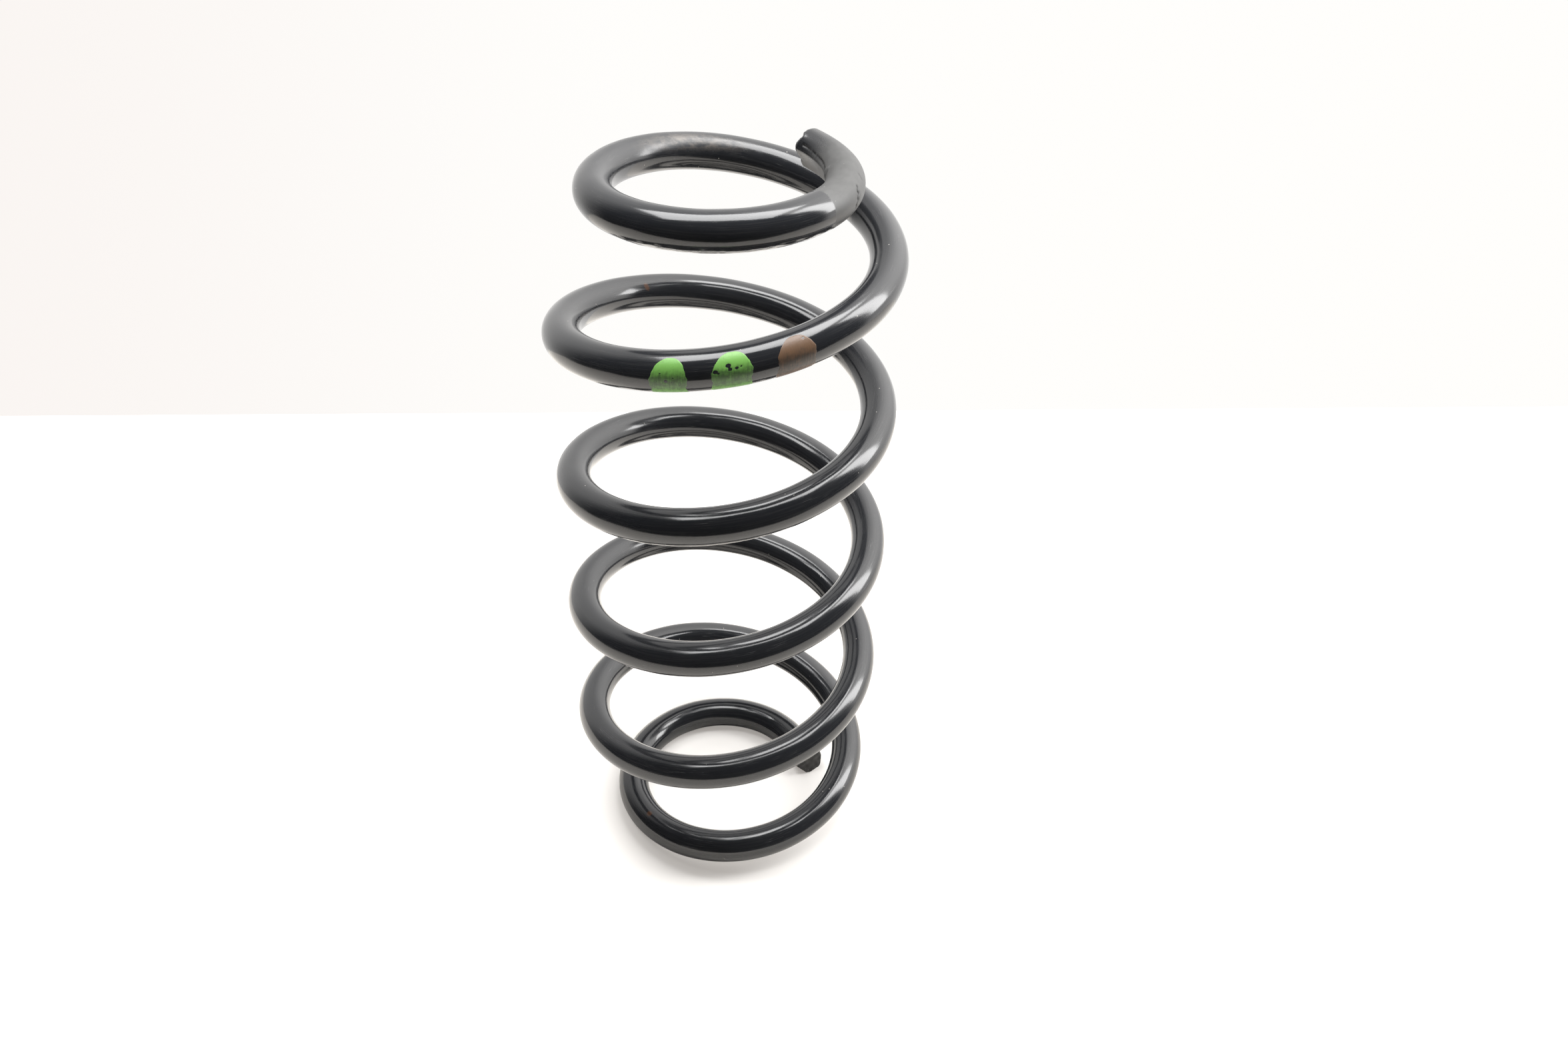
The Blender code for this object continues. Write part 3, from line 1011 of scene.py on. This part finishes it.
# The darker colour is thin paint and painted shade, below the middle of the bar's outer side
THIN_SHADED_GREEN_PAINT = (0.055, 0.115, 0.035)
BROWN_PAINT = (0.120, 0.068, 0.038)
THIN_SHADED_BROWN_PAINT = (0.042, 0.032, 0.024)
STROKES = ((3.4, 0.22, 0.22), 3.0, 0.65)
PAINT_MOTTLE = ((0.8, 0.8, 0.8), 3.0, 0.5)
GRIT = ((3.2, 3.2, 3.2), 2.0, 0.5)
# Where the paint is thin with painted shade, and lower down where it is lighter again as thicker paint and
# less shade
THIN_AND_SHADED_BETWEEN = (4.6, 0.2)
THIN_AND_SHADED_BY = 0.75
THICKER_AND_LESS_SHADED_BETWEEN = (-2.2, -4.6)
THICKER_AND_LESS_SHADED_BY = 0.45
STROKE_CONTRAST = 0.9
PAINT_MOTTLE_CONTRAST = 1.1
GRIT_LEVEL = (-0.07, 0.73)
GRIT_EDGE = 0.05
PAINT_ROUGHNESS = (0.25, 0.30)
PAINT_IOR = 1.5
PAINT_BUMP = 0.03 * MM


def paint_thinness_and_shade(tree, place, strokes, below):
    """How thin the paint is and how much shade is painted on it, most so a little below the middle of the
    outer side.
    """
    up = add_node(tree, "ShaderNodeSeparateXYZ", {"Vector": place}).outputs["Z"]
    lower = clamped(tree, up, *THICKER_AND_LESS_SHADED_BETWEEN)
    thin_and_shaded = plus_times(tree, lower, -THICKER_AND_LESS_SHADED_BY, times(tree, below, THIN_AND_SHADED_BY))
    thin_and_shaded = plus_noise(tree, thin_and_shaded, strokes, STROKE_CONTRAST)
    thin_and_shaded = plus_noise(tree, thin_and_shaded, noise(tree, place, *PAINT_MOTTLE), PAINT_MOTTLE_CONTRAST)
    return clamped(tree, thin_and_shaded, 0.0, 1.0)


def bare_grit(tree, place, below):
    """Specks where the coating shows through the paint, more of them where it is thin."""
    level = plus_times(tree, below, *GRIT_LEVEL)
    over = maths(tree, "SUBTRACT", noise(tree, place, *GRIT), level)
    return clamped(tree, over, 0.0, GRIT_EDGE)


def paint_material(name, colour, thin_shaded_colour):
    """Matte wiped-on paint with brush streaks, thin and darkened by painted shade round the middle of the
    outer side.
    """
    material, tree, shader = new_material(name)
    place = bar_place(tree)
    up = add_node(tree, "ShaderNodeSeparateXYZ", {"Vector": place}).outputs["Z"]
    below = clamped(tree, up, *THIN_AND_SHADED_BETWEEN)
    strokes = noise(tree, place, *STROKES)
    painted = tinted(tree, paint_thinness_and_shade(tree, place, strokes, below), colour, thin_shaded_colour)
    painted = tinted(tree, bare_grit(tree, place, below), painted, COATING)
    rough = plus_times(tree, strokes, *PAINT_ROUGHNESS)
    bump = add_node(tree, "ShaderNodeBump", {"Height": strokes, "Strength": 1.0, "Distance": PAINT_BUMP})
    link(tree, shader, Base_Color=painted, Roughness=rough, IOR=PAINT_IOR, Normal=bump.outputs["Normal"])
    return material


# The camera
CAMERA_ELEVATION = math.radians(35.998)
CAMERA_DISTANCE = 511.58 * MM
CAMERA_LENS = 28.23
CAMERA_SENSOR = 36.0
CAMERA_ROLL = math.radians(1.805)
CAMERA_TARGET = Vector((24.745, 0.0, 156.298)) * MM
NEAREST_SEEN = 10.0 * MM

# The lamps: where they are, width and height in metres, and brightness
OVERHEAD_PLACE = Vector((-0.08, 0.085, 1.20))
OVERHEAD_SIZE = (1.00, 0.65)
OVERHEAD_RADIANCE = 10.5
RIGHT_LAMP_AIM = Vector((0.0, 0.0, 0.155))
RIGHT_LAMP_DIRECTION = (82.0, 38.0)
RIGHT_LAMP_DISTANCE = 1.1
RIGHT_LAMP_SIZE = (0.30, 0.95)
RIGHT_LAMP_RADIANCE = 10.0

# The room. Its edges are ranges of the parts of a direction, as x, y and z of the unit sphere
ROOM_RADIANCE = 0.02
BACKDROP_LEFT_EDGE = (-0.50, 0.35)
BACKDROP_FRONT_EDGE = (-0.12, 0.12)
BACKDROP_TINT_EDGE = (-0.62, -0.08)
BACKDROP_RADIANCE = 1.15
BACKDROP_MORE_TO_RIGHT = 0.9
BACKDROP_MORE_UPWARDS = 4.0
BACKDROP_RISES_FROM = 0.15
BACKDROP_LEFT = (0.955, 0.912, 0.885)
BACKDROP_RIGHT = (1.0, 0.99, 0.97)
ROOM_COLOUR = (1.0, 0.985, 0.965)

# The floor, and how the camera sees it
FLOOR_LEFT = -1.0
FLOOR_RIGHT = 1.2
FLOOR_FRONT = -0.45
FLOOR_BACK = 0.35
FLOOR_SKEW = 0.073
FLOOR_GRAIN = ((6.0, 6.0, 6.0), 4.0)
FLOOR_PALE = (0.80, 0.765, 0.715)
FLOOR_PALER = (0.82, 0.785, 0.735)
FLOOR_AS_SEEN = (0.62, 0.610, 0.595)
FLOOR_GLOW = 0.34
FLOOR_GLOW_COLOUR = (1.0, 0.94, 0.88, 1.0)
FLOOR_ROUGHNESS = 0.9


def make_camera():
    """The camera at the photograph's viewing angle."""
    data = bpy.data.cameras.new("camera")
    data.lens = CAMERA_LENS
    data.sensor_width = CAMERA_SENSOR
    data.clip_start = NEAREST_SEEN
    camera = bpy.data.objects.new("camera", data)
    back = Vector((0.0, -math.cos(CAMERA_ELEVATION), math.sin(CAMERA_ELEVATION)))
    camera.location = CAMERA_TARGET + back * CAMERA_DISTANCE
    camera.rotation_mode = "QUATERNION"
    roll = Quaternion((0.0, 0.0, 1.0), CAMERA_ROLL)
    camera.rotation_quaternion = (-back).to_track_quat("-Z", "Y") @ roll
    bpy.context.scene.collection.objects.link(camera)
    bpy.context.scene.camera = camera


def direction(azimuth, elevation):
    """The direction at an azimuth, 0 away from the camera and growing to the right, and an elevation."""
    a, e = math.radians(azimuth), math.radians(elevation)
    return Vector((math.sin(a) * math.cos(e), math.cos(a) * math.cos(e), math.sin(e)))


def softbox(name, place, aim, size, radiance):
    """A rectangular area light that faces a point and isn't seen by the camera."""
    data = bpy.data.lights.new(name, "AREA")
    data.shape = "RECTANGLE"
    data.size, data.size_y = size
    data.energy = radiance * math.pi * data.size * data.size_y
    light = bpy.data.objects.new(name, data)
    light.location = place
    light.rotation_mode = "QUATERNION"
    light.rotation_quaternion = (place - aim).to_track_quat("Z", "Y")
    light.visible_camera = False
    bpy.context.scene.collection.objects.link(light)


def make_lights():
    """A wide softbox overhead and a narrow tall one at the right."""
    below = Vector((OVERHEAD_PLACE.x, OVERHEAD_PLACE.y, 0.0))
    softbox("overhead_softbox", OVERHEAD_PLACE, below, OVERHEAD_SIZE, OVERHEAD_RADIANCE)
    place = RIGHT_LAMP_AIM + direction(*RIGHT_LAMP_DIRECTION) * RIGHT_LAMP_DISTANCE
    softbox("right_softbox", place, RIGHT_LAMP_AIM, RIGHT_LAMP_SIZE, RIGHT_LAMP_RADIANCE)


def backdrop_radiance(tree, right, back, up):
    """How bright the backdrop is in each direction: more so upwards and to the right, and dark in front."""
    leftwards = maths(tree, "MULTIPLY_ADD", right, 0.5, back)
    left_edge = clamped(tree, leftwards, *BACKDROP_LEFT_EDGE)
    front_edge = clamped(tree, back, *BACKDROP_FRONT_EDGE)
    to_right = larger(tree, maths(tree, "ADD", right, BACKDROP_RISES_FROM), 0.0)
    rising = times(tree, times(tree, to_right, BACKDROP_MORE_UPWARDS), larger(tree, up, 0.0))
    sideways = plus_times(tree, larger(tree, right, 0.0), BACKDROP_MORE_TO_RIGHT, BACKDROP_RADIANCE)
    lit = times(tree, times(tree, left_edge, front_edge), maths(tree, "ADD", rising, sideways))
    return maths(tree, "ADD", lit, ROOM_RADIANCE)


def make_world():
    """A backdrop behind the spring and a dark room in front of it. The camera sees it as evenly bright."""
    world = bpy.data.worlds.new("studio")
    world.use_nodes = True
    bpy.context.scene.world = world
    tree = world.node_tree
    background = tree.nodes["Background"]
    place = add_node(tree, "ShaderNodeTexCoord").outputs["Generated"]
    parts = add_node(tree, "ShaderNodeSeparateXYZ", {"Vector": place})
    right, back, up = (parts.outputs[axis] for axis in "XYZ")
    seen = add_node(tree, "ShaderNodeLightPath").outputs["Is Camera Ray"]
    strength = mixed(tree, seen, backdrop_radiance(tree, right, back, up), 1.0)
    behind = tinted(tree, clamped(tree, right, *BACKDROP_TINT_EDGE), BACKDROP_LEFT, BACKDROP_RIGHT)
    tree.links.new(strength, background.inputs["Strength"])
    tree.links.new(tinted(tree, seen, ROOM_COLOUR, behind), background.inputs["Color"])


def floor_material():
    """Pale paper, whose shadows the camera sees weakly because the picture is overexposed."""
    material, tree, shader = new_material("pale_floor")
    seen = add_node(tree, "ShaderNodeLightPath").outputs["Is Camera Ray"]
    grain = noise(tree, add_node(tree, "ShaderNodeTexCoord").outputs["Object"], *FLOOR_GRAIN)
    paper = tinted(tree, grain, FLOOR_PALE, FLOOR_PALER)
    colour = tinted(tree, seen, paper, FLOOR_AS_SEEN)
    glow = times(tree, seen, FLOOR_GLOW)
    link(tree, shader, Base_Color=colour, Roughness=FLOOR_ROUGHNESS, Specular_IOR_Level=0.0)
    link(tree, shader, Emission_Strength=glow, Emission_Color=FLOOR_GLOW_COLOUR)
    return material


def make_floor():
    """A table top whose back edge runs slightly away from the camera to the right."""
    data = bpy.data.meshes.new("floor")
    front = [(FLOOR_LEFT, FLOOR_FRONT, 0.0), (FLOOR_RIGHT, FLOOR_FRONT, 0.0)]
    back = [(x, FLOOR_BACK + x * FLOOR_SKEW, 0.0) for x in (FLOOR_RIGHT, FLOOR_LEFT)]
    data.from_pydata(front + back, [], [(0, 1, 2, 3)])
    data.materials.append(floor_material())
    floor = bpy.data.objects.new("floor", data)
    bpy.context.scene.collection.objects.link(floor)


make_bar(coating_material())
make_marks()
make_floor()
make_world()
make_lights()
make_camera()
bpy.context.scene.view_settings.view_transform = "Standard"
